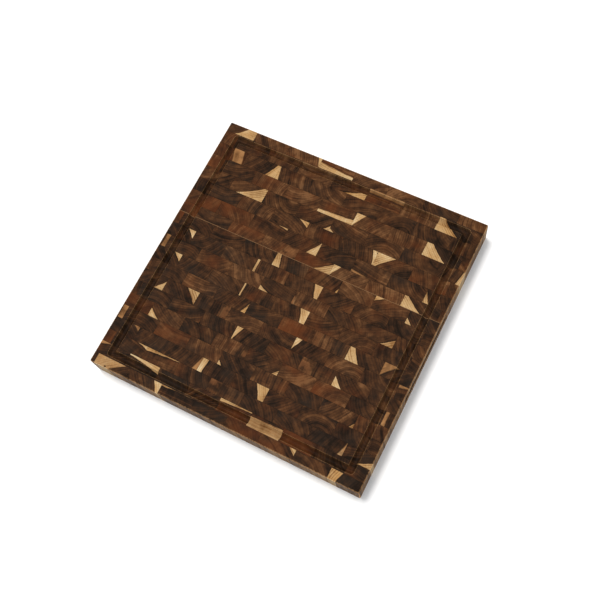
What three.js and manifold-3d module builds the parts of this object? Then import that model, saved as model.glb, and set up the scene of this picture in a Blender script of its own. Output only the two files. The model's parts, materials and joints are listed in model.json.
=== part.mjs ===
// End-grain butcher's board: strips of upright blocks glued side by side in two panels, with a
// juice groove round the top face, a finger grip in each end and eased edges.
// Millimetres, +Z up. The origin is the centre of the underside, and +Y is the far side.

import * as THREE from 'three';
import { RoundedBoxGeometry } from 'three/addons/geometries/RoundedBoxGeometry.js';
import { mergeVertices } from 'three/addons/utils/BufferGeometryUtils.js';
import Module from 'manifold-3d';

// ---------- Driving dimensions ----------

const side = 508; // the board is square
const thickness = 50.8;
const easedRadius = 2.5;

// Strip widths along Y, from the far side. The outer strip of each panel is trimmed square, and
// so is the far panel's last one, at the long seam where the panels meet.
const farPanelWidths = [19.2, ...Array(6).fill(26.1), 21.2];
const nearPanelWidths = [...Array(10).fill(24.7), 22.9, 22.9, 18.2];
const glueLine = 0.1;

// Juice groove, cut by a round-nosed bit
const grooveRadius = 6.35;
const grooveDepth = 6;
const grooveInset = 27.5; // from the board's edges to the middle of the groove

// Finger grips, in the middle of the two ends
const gripLength = 170;
const gripHeight = 17;
const gripDepth = 12;
const gripInnerRadius = 5; // round the back of the recess

// Facets in a quarter turn
const easedFacets = 3;
const grooveFacets = 6;
const gripFacets = 5;

const clearance = 1; // how far a cutter reaches past what it cuts

// ---------- Solids ----------

const wasm = await Module();
wasm.setup();

function toSolid(geometry) {
  const bare = geometry.clone();
  bare.deleteAttribute('normal');
  bare.deleteAttribute('uv');
  const merged = mergeVertices(bare);
  return new wasm.Manifold(new wasm.Mesh({
    numProp: 3,
    vertProperties: new Float32Array(merged.attributes.position.array),
    triVerts: new Uint32Array(merged.index.array),
  }));
}

function toGeometry(solid) {
  const mesh = solid.getMesh();
  const geometry = new THREE.BufferGeometry();
  geometry.setAttribute('position', new THREE.BufferAttribute(mesh.vertProperties, 3));
  geometry.setIndex(new THREE.BufferAttribute(mesh.triVerts, 1));
  geometry.computeVertexNormals();
  return geometry;
}

// The planed and sanded board, before it is grooved.
function boardBlank() {
  const blank = new RoundedBoxGeometry(side, side, thickness, easedFacets, easedRadius);
  blank.translate(0, 0, thickness / 2);
  return toSolid(blank);
}

// The path of the round-nosed bit: four straight runs, and the bit's own round at each corner.
function grooveCutter() {
  const reach = side / 2 - grooveInset;
  const bitCentre = thickness - grooveDepth + grooveRadius;
  const around = 4 * grooveFacets;
  const pieces = [];
  for (const sign of [-1, 1]) {
    const alongY = new THREE.CylinderGeometry(grooveRadius, grooveRadius, 2 * reach, around);
    const alongX = alongY.clone().rotateZ(Math.PI / 2);
    pieces.push(alongY.translate(sign * reach, 0, bitCentre));
    pieces.push(alongX.translate(0, sign * reach, bitCentre));
    for (const across of [-1, 1]) {
      const corner = new THREE.SphereGeometry(grooveRadius, around, around / 2);
      corner.rotateX(Math.PI / 2);
      pieces.push(corner.translate(sign * reach, across * reach, bitCentre));
    }
  }
  return pieces.map(toSolid).reduce((all, piece) => all.add(piece));
}

// A slot with round ends and a round back. It is centred on the end face, so half of it cuts.
function gripCutter(direction) {
  const endRadius = gripHeight / 2 - gripInnerRadius;
  const halfRun = (gripLength - gripHeight) / 2;
  const outline = new THREE.Shape();
  outline.absarc(halfRun, 0, endRadius, -Math.PI / 2, Math.PI / 2);
  outline.absarc(-halfRun, 0, endRadius, Math.PI / 2, 3 * Math.PI / 2);
  const cutter = new THREE.ExtrudeGeometry(outline, {
    depth: 2 * (gripDepth - gripInnerRadius),
    bevelSize: gripInnerRadius,
    bevelThickness: gripInnerRadius,
    bevelSegments: gripFacets,
    curveSegments: 2 * gripFacets,
  });
  cutter.translate(0, 0, gripInnerRadius - gripDepth);

  // The outline's own axes x, y and z become the board's Y, Z and X.
  const turned = new THREE.Matrix4().makeBasis(
    new THREE.Vector3(0, 1, 0),
    new THREE.Vector3(0, 0, 1),
    new THREE.Vector3(1, 0, 0),
  );
  cutter.applyMatrix4(turned);
  return toSolid(cutter.translate(direction * side / 2, 0, thickness / 2));
}

// The space between two planes across Y, over the board's whole length and height.
function slab(nearY, farY) {
  const box = new THREE.BoxGeometry(side + 2 * clearance, farY - nearY, thickness + 2 * clearance);
  return toSolid(box.translate(0, (nearY + farY) / 2, thickness / 2));
}

// ---------- Strips ----------

const walnutTones = ['#4a3021', '#573a27', '#402a1e'];

function walnut(index) {
  return new THREE.MeshStandardMaterial({
    color: walnutTones[index % walnutTones.length],
    roughness: 0.6,
    metalness: 0,
  });
}

const board = new THREE.Group();
const worked = boardBlank()
  .subtract(grooveCutter())
  .subtract(gripCutter(-1))
  .subtract(gripCutter(1));

const strips = [
  ...farPanelWidths.map((width, index) => ({ name: `far_strip_${index + 1}`, width })),
  ...nearPanelWidths.map((width, index) => ({ name: `near_strip_${index + 1}`, width })),
];

let farEdge = side / 2;
strips.forEach(({ name, width }, index) => {
  const nearEdge = farEdge - width;
  const isFirst = index === 0;
  const isLast = index === strips.length - 1;
  const farPlane = isFirst ? farEdge + clearance : farEdge - glueLine / 2;
  const nearPlane = isLast ? nearEdge - clearance : nearEdge + glueLine / 2;
  const strip = new THREE.Mesh(
    toGeometry(worked.intersect(slab(nearPlane, farPlane))),
    walnut(index),
  );
  strip.name = name;
  board.add(strip);
  farEdge = nearEdge;
});

export default board;
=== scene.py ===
# End-grain walnut cutting board. Every upright block of the glued strips is its own piece, cut out
# of one finished board, and a solid wood material runs up through each block along its own grain.
# Metres, +Z up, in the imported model's frame: +X along the strips, +Y away from the user.

import json
import math
import random

import bmesh
import bpy
from mathutils import Matrix, Vector


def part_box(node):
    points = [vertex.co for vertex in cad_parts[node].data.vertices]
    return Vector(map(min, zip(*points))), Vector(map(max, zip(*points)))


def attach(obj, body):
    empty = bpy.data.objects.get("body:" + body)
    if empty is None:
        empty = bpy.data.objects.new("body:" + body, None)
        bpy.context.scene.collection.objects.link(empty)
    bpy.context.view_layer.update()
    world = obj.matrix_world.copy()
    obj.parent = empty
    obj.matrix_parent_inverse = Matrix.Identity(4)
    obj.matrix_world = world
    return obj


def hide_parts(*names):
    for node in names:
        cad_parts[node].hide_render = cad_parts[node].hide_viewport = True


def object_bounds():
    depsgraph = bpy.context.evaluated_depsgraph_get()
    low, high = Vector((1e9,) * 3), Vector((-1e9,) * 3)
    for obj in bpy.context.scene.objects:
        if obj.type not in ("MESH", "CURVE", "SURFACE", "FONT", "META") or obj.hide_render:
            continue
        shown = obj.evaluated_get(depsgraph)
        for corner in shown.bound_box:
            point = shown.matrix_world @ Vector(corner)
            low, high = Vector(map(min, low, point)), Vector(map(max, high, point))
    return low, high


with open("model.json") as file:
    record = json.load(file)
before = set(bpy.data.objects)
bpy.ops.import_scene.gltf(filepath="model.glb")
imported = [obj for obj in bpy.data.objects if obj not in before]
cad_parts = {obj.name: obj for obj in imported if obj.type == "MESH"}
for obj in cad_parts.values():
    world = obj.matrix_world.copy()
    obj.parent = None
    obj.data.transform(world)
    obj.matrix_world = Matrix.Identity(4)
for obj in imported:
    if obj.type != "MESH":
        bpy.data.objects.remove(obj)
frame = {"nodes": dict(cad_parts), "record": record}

MM = 0.001
BODY = "root"

cad_low, cad_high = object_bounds()
length = cad_high.x - cad_low.x
top = cad_high.z
middle_height = (cad_low.z + cad_high.z) / 2


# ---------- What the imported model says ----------

def strips_of(panel):
    """The names of a panel's strips, from the far side."""
    names = [name for name in frame["nodes"] if name.startswith(panel)]
    return sorted(names, key=lambda name: -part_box(name)[0].y)


def opening(name):
    """The lowest and the highest corner of one of the record's openings."""
    stated = frame["record"]["physics"]["openings"]
    box = next(entry["box_m"] for entry in stated if entry["name"] == name)
    return Vector(box[0]), Vector(box[1])


FAR_STRIPS = strips_of("far_strip")
NEAR_STRIPS = strips_of("near_strip")
STRIPS = FAR_STRIPS + NEAR_STRIPS

groove_low, groove_high = opening("juice_groove_right")
groove_reach = (groove_low.x + groove_high.x) / 2  # from the board's middle to the groove's


# ---------- Sizes that the openings don't give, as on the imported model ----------

EASED_RADIUS = 2.5 * MM
GROOVE_RADIUS = 6.35 * MM
GROOVE_DEPTH = 6 * MM
GRIP_LENGTH = 170 * MM
GRIP_HEIGHT = 17 * MM
GRIP_DEPTH = 12 * MM
GRIP_INNER_RADIUS = 5 * MM
LIP_RADIUS = 1 * MM  # sanded onto the edges of the groove and of the grips
GLUE_LINE = 0.1 * MM

EASED_FACETS = 5  # in a quarter turn
ROUND_FACETS = 10
LIP_FACETS = 3
LIP_SLOPES = (math.radians(30), math.radians(60))  # of the groove's lips, from level
CLEARANCE = 1 * MM  # how far a cutter reaches past what it cuts
SHARP_ANGLE = math.radians(35)  # faces that meet at more than this are shaded apart
MERGE_DISTANCE = 0.005 * MM  # points that the cuts leave closer than this are one point


# ---------- Blocks ----------

# Each strip's first joint from the left end and the distance between its joints, in mm. Planks of
# one width make up a panel, and each strip was turned or shifted before it was glued.
FAR_BLOCK = 66.8
NEAR_BLOCK = 63.0
JOINTS = {
    "far_strip_1": (56.4, FAR_BLOCK),
    "far_strip_2": (26.4, FAR_BLOCK),
    "far_strip_3": (61.4, FAR_BLOCK),
    "far_strip_4": (26.2, FAR_BLOCK),
    "far_strip_5": (62.2, FAR_BLOCK),
    "far_strip_6": (25.2, FAR_BLOCK),
    "far_strip_7": (63.2, FAR_BLOCK),
    "far_strip_8": (32.4, FAR_BLOCK),
    "near_strip_11": (16.5, NEAR_BLOCK),
    "near_strip_12": (58.8, 59.1),
    "near_strip_13": (8.5, 63.3),
}
JOINTS.update({f"near_strip_{number}": (12.3, NEAR_BLOCK) for number in (1, 3, 5, 7, 9)})
JOINTS.update({f"near_strip_{number}": (49.8, NEAR_BLOCK) for number in (2, 4, 6, 8, 10)})


def joints_of(strip):
    """Where a strip's blocks meet, from the left end to the right end, ends included."""
    first, pitch = (size * MM for size in JOINTS[strip])
    count = int((length - first) / pitch) + 1
    inner = [cad_low.x + first + pitch * index for index in range(count)]
    return [cad_low.x, *inner, cad_high.x]


# ---------- Sapwood and other pale wood ----------

# Where pale wood meets the dark heartwood, strip by strip: the line runs from one point to another
# and the pale wood lies on its left. A point is the distance in mm from the board's left end, and
# the share of the strip's width from its near edge. SAP is cream sapwood, TAN and RUST are the
# browner wood beside it, and GOLD lies halfway from SAP to TAN. A number at the end makes a band of
# that width in mm.
SAP = 0.0
GOLD = 0.25
TAN = 0.5
RUST = 1.0
PALE = {
    "far_strip_1": [
        (40, 1.0, 18, 0.0, SAP), (182, 1.0, 190, 0.0, SAP), (257, 0.3, 191, 0.65, SAP),
    ],
    "far_strip_2": [
        (295, 0.6, 254, 0.0, SAP), (295, 0.8, 362, 0.78, TAN), (469, 0.0, 438, 1.0, SAP),
    ],
    "far_strip_3": [
        (33, 1.0, 40, 0.0, TAN, 19), (122, 1.0, 108, 0.0, SAP), (135, 0.0, 129, 1.0, SAP),
    ],
    "far_strip_4": [
        (293, 0.38, 225, 0.22, SAP), (295, 0.0, 311, 1.0, SAP), (469, 0.0, 438, 1.0, SAP),
    ],
    "far_strip_5": [
        (121, 1.0, 76, 0.0, SAP), (262, 0.35, 252, 0.0, SAP), (273, 0.0, 263, 0.2, SAP),
        (506, 1.0, 500, 0.0, SAP),
    ],
    "far_strip_6": [
        (205, 1.0, 225, 0.6, SAP), (349, 1.0, 358, 0.0, SAP), (364, 0.0, 392, 1.0, SAP),
    ],
    "far_strip_7": [
        (177, 1.0, 196, 0.88, SAP), (263, 1.0, 245, 0.0, SAP), (366, 0.0, 330, 0.2, TAN),
        (475, 0.0, 463, 0.9, SAP),
    ],
    "far_strip_8": [
        (212, 1.0, 203, 0.0, RUST), (300, 0.95, 269, 0.0, SAP), (300, 0.0, 313, 1.0, SAP),
        (469, 0.0, 440, 1.0, SAP),
    ],
    "near_strip_1": [
        (216, 0.0, 209, 1.0, SAP), (327, 0.35, 323, 0.0, SAP), (390, 0.6, 405, 1.0, SAP),
        (464, 0.0, 453, 0.45, SAP),
    ],
    "near_strip_2": [
        (35, 1.0, 50, 0.38, SAP), (180, 0.0, 180, 1.0, SAP), (286, 1.0, 295, 0.0, SAP),
    ],
    "near_strip_3": [
        (5, 1.0, 5, 0.0, TAN), (220, 0.0, 201, 0.35, SAP), (269, 0.0, 269, 1.0, RUST),
        (453, 0.62, 432, 0.0, SAP),
    ],
    "near_strip_4": [
        (35, 1.0, 50, 0.4, SAP), (179, 0.0, 179, 1.0, SAP), (284, 1.0, 293, 0.0, SAP),
    ],
    "near_strip_5": [
        (201, 0.72, 193, 0.0, SAP), (321, 1.0, 321, 0.0, RUST), (340, 0.0, 341, 1.0, RUST),
        (415, 0.0, 399, 1.0, SAP), (455, 0.1, 478, 1.0, TAN),
    ],
    "near_strip_6": [
        (50, 0.75, 33, 0.0, SAP), (89, 1.0, 112, 0.05, SAP), (164, 1.0, 164, 0.0, RUST),
        (302, 0.05, 312, 0.95, SAP), (490, 0.75, 504, 0.9, TAN),
    ],
    "near_strip_7": [
        (203, 0.0, 213, 1.0, SAP), (351, 0.0, 351, 1.0, RUST), (408, 0.0, 391, 0.68, SAP),
    ],
    "near_strip_8": [
        (70, 0.0, 50, 0.58, SAP), (231, 1.0, 231, 0.0, RUST), (302, 0.42, 292, 0.0, SAP),
        (497, 0.0, 497, 1.0, TAN),
    ],
    "near_strip_9": [
        (3, 1.0, 3, 0.0, TAN), (210, 0.0, 201, 0.33, SAP), (270, 0.0, 270, 1.0, RUST),
        (453, 0.35, 447, 0.0, SAP),
    ],
    "near_strip_10": [
        (39, 1.0, 50, 0.68, TAN), (174, 1.0, 166, 0.0, TAN), (184, 0.0, 187, 1.0, SAP),
        (278, 1.0, 292, 0.0, SAP),
    ],
    "near_strip_11": [
        (61, 1.0, 79, 0.78, SAP), (80, 0.72, 142, 0.97, SAP), (226, 0.0, 226, 1.0, RUST),
        (457, 1.0, 450, 0.1, TAN), (508, 0.5, 483, 0.0, SAP),
    ],
    "near_strip_12": [
        (0, 0.72, 21, 1.0, TAN), (59, 0.92, 117, 0.52, SAP), (236, 0.75, 295, 0.93, SAP),
        (354, 0.85, 296, 0.75, GOLD),
    ],
    "near_strip_13": [
        (36, 0.0, 63, 1.0, GOLD), (119, 1.0, 131, 0.0, SAP), (136, 0.88, 197, 1.0, SAP),
        (375, 1.0, 388, 0.42, SAP), (466, 0.0, 472, 1.0, SAP),
    ],
}

# Radius of the growth ring that a line follows. A ring that bends more would cut a shallow line's
# block twice.
PALE_BEND = 170 * MM
SHALLOW_BEND = 900 * MM
SHALLOW = 0.4  # rise to run
NO_PALE_WOOD = 10.0  # a radius past any block, in metres
ALL_THE_WAY = 1.0  # a band that runs on to the bark

# Pin knots: the strip, the distance in mm from the left end, the share of the width from the
# near edge, and the radius in mm.
KNOTS = [
    ("far_strip_6", 358.6, 0.9, 1.2),
    ("near_strip_13", 29.5, 0.12, 1.8),
]
FAR_AWAY = 1000.0  # a knot's distance, in its own radii, where a block has none


# ---------- Heartwood ----------

# How the blocks of a strip differ from plain walnut, one letter for each, from left to right. Each
# letter was chosen to bring its block near the brightness measured in the photograph.
TONES = {
    "far_strip_1": ".lTWLL.T",
    "far_strip_2": "Wd.L.rldD",
    "far_strip_3": "Rd.l..dd",
    "far_strip_4": "OdLL.WldB",
    "far_strip_5": "..d..l.d",
    "far_strip_6": "dDl....W.",
    "far_strip_7": "rrl.dl.d",
    "far_strip_8": "R.WLrTL.B",
    "near_strip_1": "Rd..l.Lld",
    "near_strip_2": "Ddl......",
    "near_strip_3": ".drT.l.l.",
    "near_strip_4": "Ddl...d..",
    "near_strip_5": ".dL..Bl.d",
    "near_strip_6": "dd...d...",
    "near_strip_7": "dd.d....d",
    "near_strip_8": "BlDl.lrdd",
    "near_strip_9": ".drL.lD.r",
    "near_strip_10": "DD.DD.ddd",
    "near_strip_11": "RdB.lDdKd",
    "near_strip_12": "DKDdB.RDd",
    "near_strip_13": "D.ddDBBDD",
}
LIGHTNESS_AND_REDNESS = {
    ".": (0.0, 0.0),
    "l": (0.17, 0.0),
    "L": (0.36, 0.1),
    "T": (0.62, 0.2),
    "d": (-0.15, -0.1),
    "D": (-0.32, -0.2),
    "K": (-0.6, -0.4),
    "r": (0.1, 0.5),
    "R": (0.0, 0.85),
    "W": (0.32, 0.5),
    "B": (-0.2, 0.6),
    "O": (0.45, 1.1),
}

RING_PITCHES = (3.0 * MM, 4.8 * MM)
PITH_DISTANCES = (25 * MM, 110 * MM)
TONE_SPREAD = 0.06
REDNESS_SPREAD = 0.15
SLICE_TURN = 0.3  # in radians, how far slices of one plank differ in the pith's direction
SLICE_SHIFT = 6  # in mm, and in its distance
SEEDS = (0, 100)


class Block:
    """One upright block: its place in the board and the wood that it was sawn from."""

    def __init__(self, strip, number, left, right):
        low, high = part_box(strip)
        self.name = f"{strip}_block_{number + 1}"
        self.strip = strip
        self.left, self.right = left, right
        self.near, self.far = low.y, high.y
        self.pale_radius = NO_PALE_WOOD
        self.pale_width = ALL_THE_WAY
        self.pale_kind = SAP
        self.knot = None
        self.choose_heartwood(number)

    def choose_heartwood(self, number):
        """Neighbouring strips of a panel are slices of the same planks, every other one turned."""
        row = STRIPS.index(self.strip)
        turned = row % 2 == 1
        panel = self.strip.split("_")[0]
        plank = random.Random(f"{panel} plank {number} {turned}")
        slice_of_it = random.Random(f"{self.strip} block {number}")

        direction = plank.uniform(0, 2 * math.pi) + slice_of_it.uniform(-SLICE_TURN, SLICE_TURN)
        distance = plank.uniform(*PITH_DISTANCES)
        distance += slice_of_it.uniform(-SLICE_SHIFT, SLICE_SHIFT) * MM
        centre = Vector(((self.left + self.right) / 2, (self.near + self.far) / 2))
        self.pith = centre + distance * Vector((math.cos(direction), math.sin(direction)))

        self.ring_pitch = plank.uniform(*RING_PITCHES)
        self.seed = slice_of_it.uniform(*SEEDS)
        lightness, redness = LIGHTNESS_AND_REDNESS[TONES[self.strip][number]]
        self.lightness = lightness + plank.gauss(0, TONE_SPREAD)
        self.redness = redness + plank.gauss(0, REDNESS_SPREAD)

    def holds(self, x):
        return self.left <= x <= self.right

    def turn_pale(self, start, end, kind, width=ALL_THE_WAY):
        """Puts the pith where a growth ring runs from start to end with the pith on its right."""
        chord = end - start
        outward = Vector((-chord.y, chord.x)).normalized()
        bend = SHALLOW_BEND if abs(chord.y) < SHALLOW * abs(chord.x) else PALE_BEND
        rise = math.sqrt(bend ** 2 - (chord.length / 2) ** 2)
        self.pith = (start + end) / 2 - outward * rise
        self.pale_radius = bend
        self.pale_width = width
        self.pale_kind = kind


def blocks_of(strip):
    """A strip's blocks from left to right, with their pale wood."""
    places = joints_of(strip)
    blocks = [Block(strip, number, *ends) for number, ends in enumerate(zip(places, places[1:]))]
    low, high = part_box(strip)

    def point(along, across):
        return Vector((cad_low.x + along * MM, low.y + across * (high.y - low.y)))

    for x1, share1, x2, share2, kind, *width in PALE.get(strip, []):
        start, end = point(x1, share1), point(x2, share2)
        block = next(block for block in blocks if block.holds((start.x + end.x) / 2))
        block.turn_pale(start, end, kind, *(size * MM for size in width))
    for knotted_strip, along, across, radius in KNOTS:
        if knotted_strip == strip:
            centre = point(along, across)
            block = next(block for block in blocks if block.holds(centre.x))
            block.knot = (centre, radius * MM)
    return blocks


# ---------- Shapes ----------

def new_object(name, shape):
    """An object from a bmesh, which is used up."""
    mesh = bpy.data.meshes.new(name)
    shape.to_mesh(mesh)
    shape.free()
    piece = bpy.data.objects.new(name, mesh)
    bpy.context.scene.collection.objects.link(piece)
    return piece


def box_shape(low, high):
    shape = bmesh.new()
    size = Matrix.Diagonal((*(high - low), 1))
    bmesh.ops.create_cube(shape, size=1, matrix=Matrix.Translation((low + high) / 2) @ size)
    return shape


def rod_shape(centre, axis, rod_length, radius):
    shape = bmesh.new()
    turn = Vector((0, 0, 1)).rotation_difference(axis).to_matrix().to_4x4()
    bmesh.ops.create_cone(
        shape, cap_ends=True, segments=4 * ROUND_FACETS, radius1=radius, radius2=radius,
        depth=rod_length, matrix=Matrix.Translation(centre) @ turn)
    return shape


def ball_shape(centre, radius):
    shape = bmesh.new()
    bmesh.ops.create_uvsphere(
        shape, u_segments=4 * ROUND_FACETS, v_segments=2 * ROUND_FACETS, radius=radius,
        matrix=Matrix.Translation(centre))
    return shape


def blank_shape():
    """The planed and sanded board before it is grooved."""
    shape = box_shape(cad_low, cad_high)
    bmesh.ops.bevel(
        shape, geom=shape.edges[:], offset=EASED_RADIUS, segments=EASED_FACETS, profile=0.5,
        affect="EDGES")
    return shape


def path_shapes(radius, height):
    """The path of a round nose round the board: four straight runs, and its own round at each
    corner. Height is that of the nose's centre."""
    for sign in (-1, 1):
        along = 2 * groove_reach
        yield rod_shape(Vector((sign * groove_reach, 0, height)), Vector((0, 1, 0)), along, radius)
        yield rod_shape(Vector((0, sign * groove_reach, height)), Vector((1, 0, 0)), along, radius)
        for across in (-1, 1):
            yield ball_shape(Vector((sign * groove_reach, across * groove_reach, height)), radius)


def groove_shapes():
    """The groove, and wider and shallower passes that round its two lips, one for each slope."""
    yield from path_shapes(GROOVE_RADIUS, top - GROOVE_DEPTH + GROOVE_RADIUS)
    half_width = math.sqrt(GROOVE_RADIUS ** 2 - (GROOVE_RADIUS - GROOVE_DEPTH) ** 2)
    for slope in LIP_SLOPES:
        reach = half_width + LIP_RADIUS * (1 - math.tan(slope / 2))
        yield from path_shapes(reach / math.sin(slope), top + reach / math.tan(slope))


def grip_profile():
    """The recess from its mouth inwards: how deep a ring lies, and how far outside the outline."""
    yield -CLEARANCE, LIP_RADIUS
    for step in range(LIP_FACETS + 1):
        angle = math.pi / 2 * step / LIP_FACETS
        yield LIP_RADIUS * (1 - math.cos(angle)), LIP_RADIUS * (1 - math.sin(angle))
    for step in range(ROUND_FACETS + 1):
        angle = math.pi / 2 * step / ROUND_FACETS
        depth = GRIP_DEPTH - GRIP_INNER_RADIUS * (1 - math.sin(angle))
        yield depth, -GRIP_INNER_RADIUS * (1 - math.cos(angle))


def grip_shape(direction):
    """A slot with round ends, a round back and a sanded lip, open towards direction along X."""
    half_run = (GRIP_LENGTH - GRIP_HEIGHT) / 2
    shape = bmesh.new()
    rings = []
    for depth, growth in grip_profile():
        x = direction * (length / 2 - depth)
        radius = GRIP_HEIGHT / 2 + growth
        ring = []
        for end in (1, -1):
            for step in range(2 * ROUND_FACETS + 1):
                angle = math.pi * step / (2 * ROUND_FACETS) - math.pi / 2
                y = end * (half_run + radius * math.cos(angle))
                z = middle_height + end * radius * math.sin(angle)
                ring.append(shape.verts.new((x, y, z)))
        rings.append(ring)
    for outer, inner in zip(rings, rings[1:]):
        for index in range(len(outer)):
            shape.faces.new((outer[index - 1], outer[index], inner[index], inner[index - 1]))
    shape.faces.new(rings[0])
    shape.faces.new(rings[-1])
    bmesh.ops.recalc_face_normals(shape, faces=shape.faces[:])
    return shape


def with_modifiers_applied(piece):
    graph = bpy.context.evaluated_depsgraph_get()
    return bpy.data.meshes.new_from_object(piece.evaluated_get(graph), depsgraph=graph)


def combine(name, piece, operation, shape):
    """A new object: piece with shape cut away, or only what the two share."""
    tool = new_object("tool", shape)
    result = bpy.data.objects.new(name, piece.data)
    bpy.context.scene.collection.objects.link(result)
    boolean = result.modifiers.new("combine", "BOOLEAN")
    boolean.operation = operation
    boolean.solver = "MANIFOLD"
    boolean.object = tool
    mesh = with_modifiers_applied(result)
    result.modifiers.clear()
    result.data = mesh
    mesh.name = name
    bpy.data.objects.remove(tool)
    return result


def finished_board():
    """The glued-up board, grooved, with its grips cut and all its edges eased."""
    board = new_object("board", blank_shape())
    for shape in [*groove_shapes(), grip_shape(-1), grip_shape(1)]:
        worked = combine("board", board, "DIFFERENCE", shape)
        bpy.data.objects.remove(board)
        board = worked
    return board


def cut_out(name, source, low, high):
    return combine(name, source, "INTERSECT", box_shape(low, high))


def cut_strip(board, strip):
    """One strip of the board. The outer strips' cutters also reach past the board's own edges."""
    low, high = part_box(strip)
    past = CLEARANCE * Vector((1, 0, 1))
    low, high = low - past, high + past
    if strip == STRIPS[0]:
        high.y += CLEARANCE
    if strip == STRIPS[-1]:
        low.y -= CLEARANCE
    return cut_out(strip + "_whole", board, low, high)


def merge_close_points(piece):
    shape = bmesh.new()
    shape.from_mesh(piece.data)
    bmesh.ops.remove_doubles(shape, verts=shape.verts[:], dist=MERGE_DISTANCE)
    shape.to_mesh(piece.data)
    shape.free()


def cut_block(whole_strip, block):
    gap = GLUE_LINE / 2
    left = block.left - CLEARANCE if block.left == cad_low.x else block.left + gap
    right = block.right + CLEARANCE if block.right == cad_high.x else block.right - gap
    low = Vector((left, block.near - CLEARANCE, cad_low.z - CLEARANCE))
    high = Vector((right, block.far + CLEARANCE, cad_high.z + CLEARANCE))
    piece = cut_out(block.name, whole_strip, low, high)
    merge_close_points(piece)
    return piece


def smooth(pieces):
    """Rounds are shaded smooth and flat faces flat."""
    for piece in pieces:
        piece.data.shade_smooth()
        piece.data.set_sharp_from_angle(angle=SHARP_ANGLE)
        weighted = piece.modifiers.new("normals", "WEIGHTED_NORMAL")
        weighted.keep_sharp = True
    meshes = [with_modifiers_applied(piece) for piece in pieces]
    for piece, mesh in zip(pieces, meshes):
        piece.modifiers.clear()
        piece.data = mesh
        mesh.name = piece.name


def store(mesh, name, vectors):
    attribute = mesh.attributes.new(name, "FLOAT_VECTOR", "POINT")
    attribute.data.foreach_set("vector", [number for vector in vectors for number in vector])


def groove_depth(place):
    """How far below the top face a point lies, if it is in the groove."""
    off_middle = abs(max(abs(place.x), abs(place.y)) - groove_reach)
    return top - place.z if off_middle < GROOVE_RADIUS + LIP_RADIUS else 0.0


def describe_wood(piece, block):
    """Writes on the mesh what the wood material reads: the place in the tree and the wood's kind."""
    places = [vertex.co for vertex in piece.data.vertices]
    pith = Vector((*block.pith, 0))
    store(piece.data, "from_pith", [place - pith for place in places])
    low_seam = float(block.strip == FAR_STRIPS[-1])
    high_seam = float(block.strip == NEAR_STRIPS[0])
    store(piece.data, "to_low_joints", [
        (place.x - block.left, place.y - block.near, low_seam) for place in places])
    store(piece.data, "to_high_joints", [
        (block.right - place.x, block.far - place.y, high_seam) for place in places])
    rings = (block.ring_pitch, block.seed, 0)
    store(piece.data, "rings", [rings] * len(places))
    pale = (block.pale_radius, block.pale_width, block.pale_kind)
    store(piece.data, "pale", [pale] * len(places))
    if block.knot:
        centre, radius = block.knot
        store(piece.data, "knot", [
            ((place.x - centre.x) / radius, (place.y - centre.y) / radius, 0) for place in places])
    else:
        store(piece.data, "knot", [(FAR_AWAY, FAR_AWAY, 0)] * len(places))
    store(piece.data, "tone", [
        (block.lightness, block.redness, groove_depth(place)) for place in places])


# ---------- Wood ----------

WORLD_LIGHT = 0.75
WORLD_TINT = (0.94, 0.97, 1.0, 1)
KEY_LIGHT = 2.35  # in watts per square metre
KEY_TINT = (1.0, 0.975, 0.94)
KEY_DIRECTION = Vector((-0.27, 0.08, 0.96)).normalized()  # towards the light
KEY_WIDTH = math.radians(20)
FLOOR_COLOUR = (0.95, 0.95, 0.95, 1)
FLOOR_ROUGHNESS = 0.9
FLOOR_REACH = 12  # in board lengths

LIGHT_ON_TOP = WORLD_LIGHT + KEY_LIGHT * KEY_DIRECTION.z / math.pi
LIGHT_ON_SIDES = 0.75  # from half of the world and from the floor
GLOSS = 0.004  # what the oiled surface mirrors


def seen(red, green, blue, light=LIGHT_ON_TOP):
    """The shader's colour for a surface that is to show as this one, given in 0 to 255."""
    def one(value):
        share = value / 255
        shown = ((share + 0.055) / 1.055) ** 2.4
        return max(shown - GLOSS, 0) / light
    return (one(red), one(green), one(blue), 1)


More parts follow.
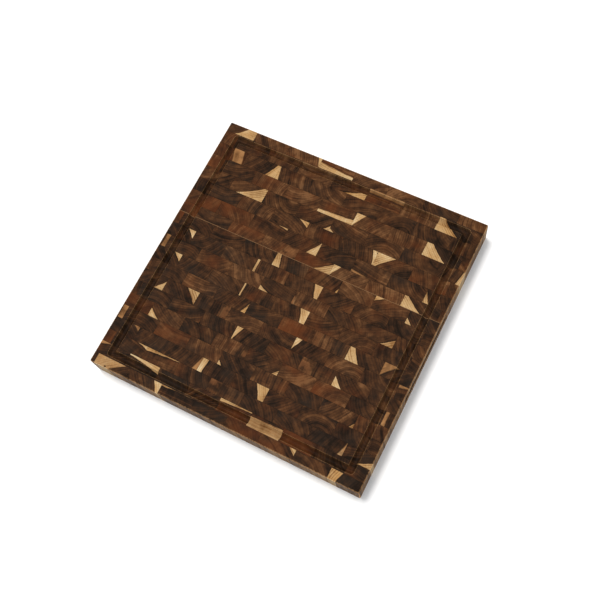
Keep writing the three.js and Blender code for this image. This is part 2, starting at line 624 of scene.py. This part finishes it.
class Nodes:
    """Adds nodes to a material so that a formula reads from left to right."""

    def __init__(self, material):
        self.tree = material.node_tree
        self.tree.nodes.clear()

    def add(self, kind, inputs=(), **settings):
        node = self.tree.nodes.new(kind)
        for name, value in settings.items():
            setattr(node, name, value)
        for socket, value in dict(inputs).items():
            self.feed(node.inputs[socket], value)
        return node

    def feed(self, socket, value):
        if isinstance(value, bpy.types.NodeSocket):
            self.tree.links.new(value, socket)
        else:
            socket.default_value = value

    def math(self, operation, *values):
        return self.add("ShaderNodeMath", enumerate(values), operation=operation).outputs[0]

    def vector(self, operation, *values):
        node = self.add("ShaderNodeVectorMath", enumerate(values), operation=operation)
        return node.outputs["Value" if operation == "LENGTH" else "Vector"]

    def total(self, *values):
        result = values[0]
        for value in values[1:]:
            result = self.math("ADD", result, value)
        return result

    def product(self, *values):
        result = values[0]
        for value in values[1:]:
            result = self.math("MULTIPLY", result, value)
        return result

    def weighted(self, start, *patterns):
        """start, plus each pattern times its weight."""
        return self.total(start, *(self.product(pattern, weight) for pattern, weight in patterns))

    def tinted(self, share, colour, tint):
        return self.mix(share, colour, self.mix(1.0, colour, tint, "MULTIPLY"))

    def attribute(self, name):
        return self.add("ShaderNodeAttribute", attribute_name=name).outputs["Vector"]

    def parts(self, vector):
        return self.add("ShaderNodeSeparateXYZ", {0: vector}).outputs

    def joined(self, x, y, z):
        return self.add("ShaderNodeCombineXYZ", {0: x, 1: y, 2: z}).outputs[0]

    def noise(self, place, per_metre, detail=2.0):
        """Soft noise about 0, within a half either way."""
        inputs = {"Vector": place, "Scale": per_metre, "Detail": detail}
        node = self.add("ShaderNodeTexNoise", inputs)
        return self.math("SUBTRACT", node.outputs[0], 0.5)

    def step(self, value, start, end, low=0.0, high=1.0):
        """Goes smoothly from low to high as value goes from start to end."""
        inputs = {"Value": value, "From Min": start, "From Max": end, "To Min": low, "To Max": high}
        node = self.add("ShaderNodeMapRange", inputs, interpolation_type="SMOOTHSTEP")
        return node.outputs[0]

    def mix(self, share, first, second, blend="MIX"):
        node = self.add("ShaderNodeMix", data_type="RGBA", blend_type=blend)
        for socket, value in zip(("Factor", "A", "B"), (share, first, second)):
            kinds = ("RGBA",) if socket != "Factor" else ("VALUE",)
            found = next(s for s in node.inputs if s.name == socket and s.type in kinds)
            self.feed(found, value)
        return next(s for s in node.outputs if s.type == "RGBA")

    def ramp(self, share, colours):
        """Colours in even steps as share goes from 0 to 1."""
        node = self.add("ShaderNodeValToRGB", {0: share})
        node.color_ramp.interpolation = "EASE"
        elements = node.color_ramp.elements
        while len(elements) < len(colours):
            elements.new(0.5)
        for index, colour in enumerate(colours):
            elements[index].position = index / (len(colours) - 1)
            elements[index].color = colour
        return node.outputs[0]


HEART_COLOURS = [
    seen(36, 27, 21),
    seen(54, 38, 28),
    seen(76, 50, 33),
    seen(99, 66, 42),
    seen(130, 90, 58),
]
RED_HEART = seen(115, 61, 31)
GREY_HEART = seen(52, 43, 36)
SAP_COLOURS = [seen(142, 98, 56), seen(206, 167, 116), seen(240, 214, 168)]
GOLDEN_SAP_COLOURS = [seen(132, 88, 46), seen(200, 150, 92), seen(232, 190, 134)]
TAN_COLOURS = [seen(107, 71, 41), seen(175, 125, 79), seen(216, 171, 120)]
RUST_COLOURS = [seen(72, 46, 28), seen(114, 74, 46), seen(166, 114, 72)]
HEART_SIDE_COLOURS = [
    seen(94, 66, 40, LIGHT_ON_SIDES),
    seen(168, 128, 86, LIGHT_ON_SIDES),
    seen(206, 168, 120, LIGHT_ON_SIDES),
]
SAP_SIDE_COLOURS = [
    seen(190, 150, 100, LIGHT_ON_SIDES),
    seen(230, 194, 142, LIGHT_ON_SIDES),
    seen(242, 216, 172, LIGHT_ON_SIDES),
]
KNOT_COLOUR = seen(52, 30, 18)
FLECK_TINT = (0.42, 0.3, 0.2, 1)
PORE_TINT = (0.28, 0.22, 0.18, 1)
# Painted shade: the tint that darkens the groove's bottom.
GROOVE_SHADE_TINT = (0.5, 0.46, 0.42, 1)
GLUE_COLOUR = seen(34, 22, 15)
SEAM_COLOUR = seen(158, 120, 84)
# Paler worn wood on sanded edges and lips, which is also a painted highlight there.
WORN_AND_HIGHLIGHT_COLOUR = seen(190, 146, 104)


# How fast patterns change along the grain, against across it
UP_THE_TRUNK = 0.12
PORES_UP_THE_TRUNK = 0.03

# How rings waver, and the line of pale wood: each noise's steps per metre, and its reach
RING_WAVER = [(18, 9 * MM), (70, 2.4 * MM), (300, 0.5 * MM)]
PALE_WAVER = [(90, 2.4 * MM), (400, 0.8 * MM)]

LATE_WOOD = (0.35, 0.95)  # where in a year's ring it darkens
YEAR_ENDS = (1.0, 0.93)  # and where it turns light again
LIGHTEST_YEAR = 0.45  # its late wood, against the darkest year's
PORES_PER_METRE = 1400
PORE_SIZES = (0.36, 0.2)  # in early and in late wood, in cells of the pattern
RAYS_AROUND = 260  # per radian
FLECKS_AROUND = 60

# Shade of plain wood, as a share of the way through its colours
HEART_MIDDLE = 0.525
SAP_MIDDLE = 0.54
BROWN_MIDDLE = 0.52

# Distances from the line of pale wood, outwards, between which its edges come or go
RIM_BAND = (1.6 * MM, 0.2 * MM)
DARKENED_BAND = (-2.5 * MM, -0.3 * MM)
PALE_SOFTNESS = (0.3 * MM, 2.6 * MM)  # of cream and of the brownest wood
KNOT_EDGE = (1.4, 0.7)  # in the knot's own radii
# Painted shade: the groove darkens between these depths.
GROOVE_SHADE_DEPTHS = (2.0 * MM, 5.6 * MM)  # in the groove

RIM_SHARE = 0.45  # of tan in the rim of a pale patch
DARKENED_SHARE = 0.6
FLECK_SHARE = 0.7
PORE_SHARE = 0.8
# How strongly the painted shade darkens the groove.
GROOVE_SHADE_SHARE = 0.34
GLUE_SHARE = 0.7
SEAM_SHARE = 0.8
# Shares of paler worn wood and painted highlight on the groove's lips and on the eased edges.
LIP_WEAR_AND_HIGHLIGHT = 0.17
EASED_WEAR_AND_HIGHLIGHT = 0.6
SIDES_IN_GROOVE = 0.08  # of the long grain's lighter colour on the groove's walls
GLUE_WIDTH = 0.3 * MM  # darkened on either side of a joint
SEAM_WIDTH = 0.4 * MM
ON_TOP = (0.35, 0.85)  # from side to top, as the upward part of a face's direction
OIL_IOR = 1.45
OIL_SPECULAR = 0.03
ROUGHNESS = 0.5
BUMP_STRENGTH = 0.35
BUMP_HEIGHT = 0.08 * MM


class Grain:
    """The patterns in a block's wood. The grain runs up Z, growth rings lie round the pith, and
    pores and rays are fine on the end grain and long on the sides."""

    def __init__(self, n):
        self.n = n
        self.read_mesh()
        self.lay_rings()
        self.lay_bands()
        self.lay_streaks()
        self.lay_rays()
        self.lay_pores()

    def read_mesh(self):
        n = self.n
        place = n.attribute("from_pith")
        self.x, self.y, self.z = n.parts(place)
        self.pitch, self.seed, _ = n.parts(n.attribute("rings"))
        self.pale_radius, self.pale_width, self.pale_kind = n.parts(n.attribute("pale"))
        self.lightness, self.redness, self.depth = n.parts(n.attribute("tone"))
        own_shift = n.joined(self.seed, n.product(self.seed, 1.7), 0.0)
        self.place = n.vector("ADD", place, own_shift)
        self.trunk = n.vector("MULTIPLY", self.place, (1, 1, UP_THE_TRUNK))

    def noise(self, per_metre, detail=2.0):
        """Noise that changes slowly up the trunk."""
        return self.n.noise(self.trunk, per_metre, detail)

    def wavering(self, radius, waver):
        """A distance from the pith that wavers by each of the noises in waver."""
        shifts = [(self.noise(per_metre), reach) for per_metre, reach in waver]
        return self.n.weighted(radius, *shifts)

    def lay_rings(self):
        """Late wood darkens towards the end of each year, and some years are darker."""
        n = self.n
        self.true_radius = n.vector("LENGTH", n.joined(self.x, self.y, 0.0))
        self.radius = self.wavering(self.true_radius, RING_WAVER)
        self.ring = n.math("DIVIDE", self.radius, self.pitch)
        self.ring_share = n.math("FRACT", self.ring)
        year_place = n.joined(n.math("FLOOR", self.ring), self.seed, 0.0)
        year = n.add("ShaderNodeTexWhiteNoise", {"Vector": year_place})
        self.late_wood = n.product(
            n.step(self.ring_share, *LATE_WOOD), n.step(self.ring_share, *YEAR_ENDS),
            n.step(year.outputs["Value"], 0, 1, LIGHTEST_YEAR, 1.0))

    def lay_bands(self):
        """Groups of rings that are lighter or darker together, and clouds across them."""
        n = self.n
        wide = n.joined(n.product(self.ring, 0.22), self.seed, n.product(self.z, 3.0))
        narrow = n.joined(
            n.product(self.ring, 0.6), n.total(self.seed, 40.0), n.product(self.z, 6.0))
        self.bands = n.noise(wide, 1.0)
        self.fine_bands = n.noise(narrow, 1.0)
        self.clouds = self.noise(28, detail=3.0)

    def lay_streaks(self):
        """Dark streaks follow the rings and come and go along them."""
        n = self.n
        place = n.joined(n.product(self.ring, 0.9), n.product(self.noise(20), 3.0), self.seed)
        self.streaks = n.product(
            n.step(n.noise(place, 1.0, detail=3.0), 0.02, 0.2),
            n.step(self.noise(35), -0.15, 0.15))

    def lay_rays(self):
        """Rays run straight out from the pith."""
        n = self.n
        self.angle = n.math("ARCTAN2", self.y, self.x)
        place = n.joined(
            n.product(self.angle, RAYS_AROUND), n.product(self.radius, 30), n.product(self.z, 60))
        self.rays = n.noise(place, 1.0, detail=1.0)

    def lay_pores(self):
        """Pores are a fine dotting on the end grain and long flecks on the sides, and they are
        larger in early wood."""
        n = self.n
        place = n.vector("MULTIPLY", self.place, (1, 1, PORES_UP_THE_TRUNK))
        cells = n.add("ShaderNodeTexVoronoi", {"Vector": place, "Scale": PORES_PER_METRE})
        size = n.step(self.ring_share, 0.0, 0.8, *PORE_SIZES)
        self.pores = n.step(cells.outputs["Distance"], size, n.product(size, 0.6))


def heart_shade(n, grain):
    return n.weighted(
        HEART_MIDDLE, (grain.lightness, 0.6), (grain.bands, 0.8), (grain.fine_bands, 1.0),
        (grain.clouds, 1.0), (grain.noise(110), 0.8), (grain.late_wood, -0.24),
        (grain.streaks, -0.34), (grain.rays, 0.5))


def heartwood(n, grain, shade):
    """Soft zones, some redder and some greyer, in a block's own tone."""
    red_share = n.weighted(0.0, (grain.redness, 0.5), (grain.noise(24, detail=3.0), 1.8))
    grey_share = n.product(red_share, -1)
    colour = n.ramp(shade, HEART_COLOURS)
    colour = n.mix(n.step(red_share, 0.0, 0.9, 0.0, 0.75), colour, RED_HEART)
    return n.mix(n.step(grey_share, 0.0, 0.5, 0.0, 0.55), colour, GREY_HEART)


def sap_shade(n, grain):
    return n.weighted(
        SAP_MIDDLE, (grain.bands, 1.0), (grain.clouds, 1.5), (grain.late_wood, -0.4),
        (grain.rays, 0.4))


def sapwood(n, grain, shade):
    """Cream in some places and golden in others."""
    golden = n.weighted(0.0, (grain.noise(9), 2.2), (grain.noise(60), 1.8))
    return n.mix(
        n.step(golden, -0.3, 0.8), n.ramp(shade, SAP_COLOURS), n.ramp(shade, GOLDEN_SAP_COLOURS))


def brown_wood(n, grain, colours):
    shade = n.weighted(
        BROWN_MIDDLE, (grain.clouds, 1.8), (grain.bands, 0.7), (grain.late_wood, -0.15))
    return n.ramp(shade, colours)


def pale_wood(n, grain, outer, shade):
    """The kind of pale wood that a block has, with a browner rim and dark flecks."""
    tan = brown_wood(n, grain, TAN_COLOURS)
    rust = brown_wood(n, grain, RUST_COLOURS)
    colour = n.mix(n.step(grain.pale_kind, SAP, TAN), sapwood(n, grain, shade), tan)
    colour = n.mix(n.step(grain.pale_kind, TAN, RUST), colour, rust)
    fleck_place = n.joined(
        n.product(grain.angle, FLECKS_AROUND), n.product(grain.radius, 30), grain.seed)
    flecks = n.step(n.noise(fleck_place, 1.0), 0.16, 0.26)
    colour = n.tinted(n.product(flecks, FLECK_SHARE), colour, FLECK_TINT)
    rim = n.step(outer, *RIM_BAND)
    return n.mix(n.product(rim, RIM_SHARE), colour, tan)


def pale_outer(n, grain):
    """How far outside the pale wood's line a point lies. The line wavers less than the rings."""
    line = grain.wavering(grain.true_radius, PALE_WAVER)
    return n.math("SUBTRACT", line, grain.pale_radius)


def pale_share(n, grain, outer):
    """Cream wood ends sharply, and browner wood fades away and has gaps."""
    softness = n.step(grain.pale_kind, SAP, RUST, *PALE_SOFTNESS)
    inwards = n.math("SUBTRACT", grain.pale_width, outer)
    gaps = n.step(grain.pale_kind, SAP, RUST, 1.0, 0.1)
    return n.product(
        n.step(outer, n.product(softness, -1), softness),
        n.step(inwards, n.product(softness, -1), softness),
        n.step(grain.noise(75), -0.16, 0.08, gaps, 1.0))


def sawn_wood(n, grain, upright):
    """End grain on top and long grain, which takes up less oil and so is lighter, on the sides."""
    in_heart = heart_shade(n, grain)
    in_sap = sap_shade(n, grain)
    outer = pale_outer(n, grain)
    pale = pale_share(n, grain, outer)
    darkened = n.product(n.step(outer, *DARKENED_BAND), DARKENED_SHARE)
    heart = n.mix(darkened, heartwood(n, grain, in_heart), HEART_COLOURS[0])
    end_colour = n.mix(pale, heart, pale_wood(n, grain, outer, in_sap))
    from_knot = n.vector("LENGTH", n.attribute("knot"))
    end_colour = n.mix(n.step(from_knot, *KNOT_EDGE), end_colour, KNOT_COLOUR)
    side_colour = n.mix(
        pale, n.ramp(in_heart, HEART_SIDE_COLOURS), n.ramp(in_sap, SAP_SIDE_COLOURS))
    outside_groove = n.step(grain.depth, 0.6 * MM, 0.2 * MM, SIDES_IN_GROOVE, 1.0)
    long_grain = n.product(n.step(upright, *reversed(ON_TOP)), outside_groove)
    colour = n.mix(long_grain, end_colour, side_colour)
    return n.tinted(n.product(grain.pores, PORE_SHARE), colour, PORE_TINT)


def painted_groove_shade_and_worn_highlit_edges(n, grain, upright, colour):
    """Painted shade darkens the groove's bottom, and sanded edges are paler in patches, as wear and
    as painted highlight.
    """
    # Painted shade in the groove, darker towards its bottom.
    groove_shade = n.step(grain.depth, *GROOVE_SHADE_DEPTHS)
    colour = n.tinted(n.product(groove_shade, GROOVE_SHADE_SHARE), colour, GROOVE_SHADE_TINT)
    sloping = n.product(n.step(upright, 0.99, 0.93), n.step(upright, 0.1, 0.4))
    patchy = n.step(n.noise(grain.place, 400), -0.2, 0.2)
    # Wear and painted highlight: paler on the eased edges, less on the groove's lips.
    wear_and_highlight = n.product(
        n.step(grain.depth, 0.02 * MM, 0.2 * MM, EASED_WEAR_AND_HIGHLIGHT, LIP_WEAR_AND_HIGHLIGHT),
        n.step(grain.depth, 1.6 * MM, 0.8 * MM))
    return n.mix(n.product(sloping, patchy, wear_and_highlight), colour, WORN_AND_HIGHLIGHT_COLOUR)


def glued(n, upright, colour):
    """Glue lines are dark, but the long seam between the panels is pale."""
    low_x, low_y, low_seam = n.parts(n.attribute("to_low_joints"))
    high_x, high_y, high_seam = n.parts(n.attribute("to_high_joints"))
    nearest = n.math("MINIMUM", n.math("MINIMUM", low_x, low_y), n.math("MINIMUM", high_x, high_y))
    glue = n.step(nearest, GLUE_WIDTH, GLUE_LINE / 2)
    colour = n.mix(n.product(glue, GLUE_SHARE), colour, GLUE_COLOUR)
    seam = n.total(
        n.product(low_seam, n.step(low_y, SEAM_WIDTH, 0.75 * SEAM_WIDTH)),
        n.product(high_seam, n.step(high_y, SEAM_WIDTH, 0.75 * SEAM_WIDTH)))
    on_top = n.step(upright, *ON_TOP)
    return n.mix(n.product(seam, on_top, SEAM_SHARE), colour, SEAM_COLOUR)


def walnut():
    material = bpy.data.materials.new("oiled_walnut")
    material.use_nodes = True
    n = Nodes(material)
    grain = Grain(n)
    geometry = n.add("ShaderNodeNewGeometry")
    upright = n.math("ABSOLUTE", n.parts(geometry.outputs["True Normal"])[2])
    colour = sawn_wood(n, grain, upright)
    colour = painted_groove_shade_and_worn_highlit_edges(n, grain, upright, colour)
    colour = glued(n, upright, colour)

    relief = n.weighted(0.0, (grain.pores, -1.0), (grain.late_wood, 0.25), (grain.rays, 0.15))
    bump = n.add("ShaderNodeBump", {
        "Height": relief, "Strength": BUMP_STRENGTH, "Distance": BUMP_HEIGHT})
    roughness = n.weighted(ROUGHNESS, (grain.pores, 0.2), (grain.clouds, 0.15))
    shader = n.add("ShaderNodeBsdfPrincipled", {
        "Base Color": colour, "Roughness": roughness, "Normal": bump.outputs[0],
        "IOR": OIL_IOR, "Specular IOR Level": OIL_SPECULAR})
    n.add("ShaderNodeOutputMaterial", {"Surface": shader.outputs[0]})
    return material


# ---------- The board ----------

def make_board():
    board = finished_board()
    material = walnut()
    pieces = []
    for strip in STRIPS:
        whole_strip = cut_strip(board, strip)
        for block in blocks_of(strip):
            piece = cut_block(whole_strip, block)
            pieces.append((piece, block))
        bpy.data.objects.remove(whole_strip)
    bpy.data.objects.remove(board)

    smooth([piece for piece, _ in pieces])
    for piece, block in pieces:
        describe_wood(piece, block)
        piece.data.materials.clear()
        piece.data.materials.append(material)
        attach(piece, BODY)
        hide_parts(block.strip)


# ---------- Floor, light and camera ----------

def plain_material(name, colour, roughness):
    material = bpy.data.materials.new(name)
    material.use_nodes = True
    n = Nodes(material)
    shader = n.add("ShaderNodeBsdfPrincipled", {"Base Color": colour, "Roughness": roughness})
    n.add("ShaderNodeOutputMaterial", {"Surface": shader.outputs[0]})
    return material


def make_floor():
    reach = FLOOR_REACH * length
    shape = bmesh.new()
    corners = [(-reach, -reach), (reach, -reach), (reach, reach), (-reach, reach)]
    shape.faces.new([shape.verts.new((x, y, cad_low.z)) for x, y in corners])
    floor = new_object("floor", shape)
    floor.data.materials.append(plain_material("floor", FLOOR_COLOUR, FLOOR_ROUGHNESS))


def make_light():
    world = bpy.data.worlds.new("studio")
    world.use_nodes = True
    background = world.node_tree.nodes["Background"]
    background.inputs["Color"].default_value = WORLD_TINT
    background.inputs["Strength"].default_value = WORLD_LIGHT
    bpy.context.scene.world = world

    key = bpy.data.lights.new("key", "SUN")
    key.energy = KEY_LIGHT
    key.color = KEY_TINT
    key.angle = KEY_WIDTH
    lamp = bpy.data.objects.new("key", key)
    bpy.context.scene.collection.objects.link(lamp)
    lamp.rotation_euler = KEY_DIRECTION.to_track_quat("Z", "Y").to_euler()


# The camera looks down on the near right corner, turned a little about its own line of sight. Its
# numbers are fitted to the board's corners and edges in the photograph.
CAMERA_AZIMUTH = math.radians(42.55)  # from the near side towards the right
CAMERA_ELEVATION = math.radians(68.59)
CAMERA_ROLL = math.radians(16.445)
CAMERA_DISTANCE = 1.5927
CAMERA_AIM = Vector((0.0154, 0.0023, middle_height))
LENS = 55.34  # in mm, and the sensor too
SENSOR_WIDTH = 36


def make_camera():
    back = Vector((
        math.sin(CAMERA_AZIMUTH) * math.cos(CAMERA_ELEVATION),
        -math.cos(CAMERA_AZIMUTH) * math.cos(CAMERA_ELEVATION),
        math.sin(CAMERA_ELEVATION)))
    data = bpy.data.cameras.new("camera")
    data.sensor_width = SENSOR_WIDTH
    data.lens = LENS
    camera = bpy.data.objects.new("camera", data)
    bpy.context.scene.collection.objects.link(camera)
    camera.location = CAMERA_AIM + back * CAMERA_DISTANCE
    level = back.to_track_quat("Z", "Y").to_matrix()
    camera.rotation_euler = (level @ Matrix.Rotation(-CAMERA_ROLL, 3, "Z")).to_euler()
    bpy.context.scene.camera = camera


make_board()
make_floor()
make_light()
make_camera()
bpy.context.scene.view_settings.view_transform = "Standard"
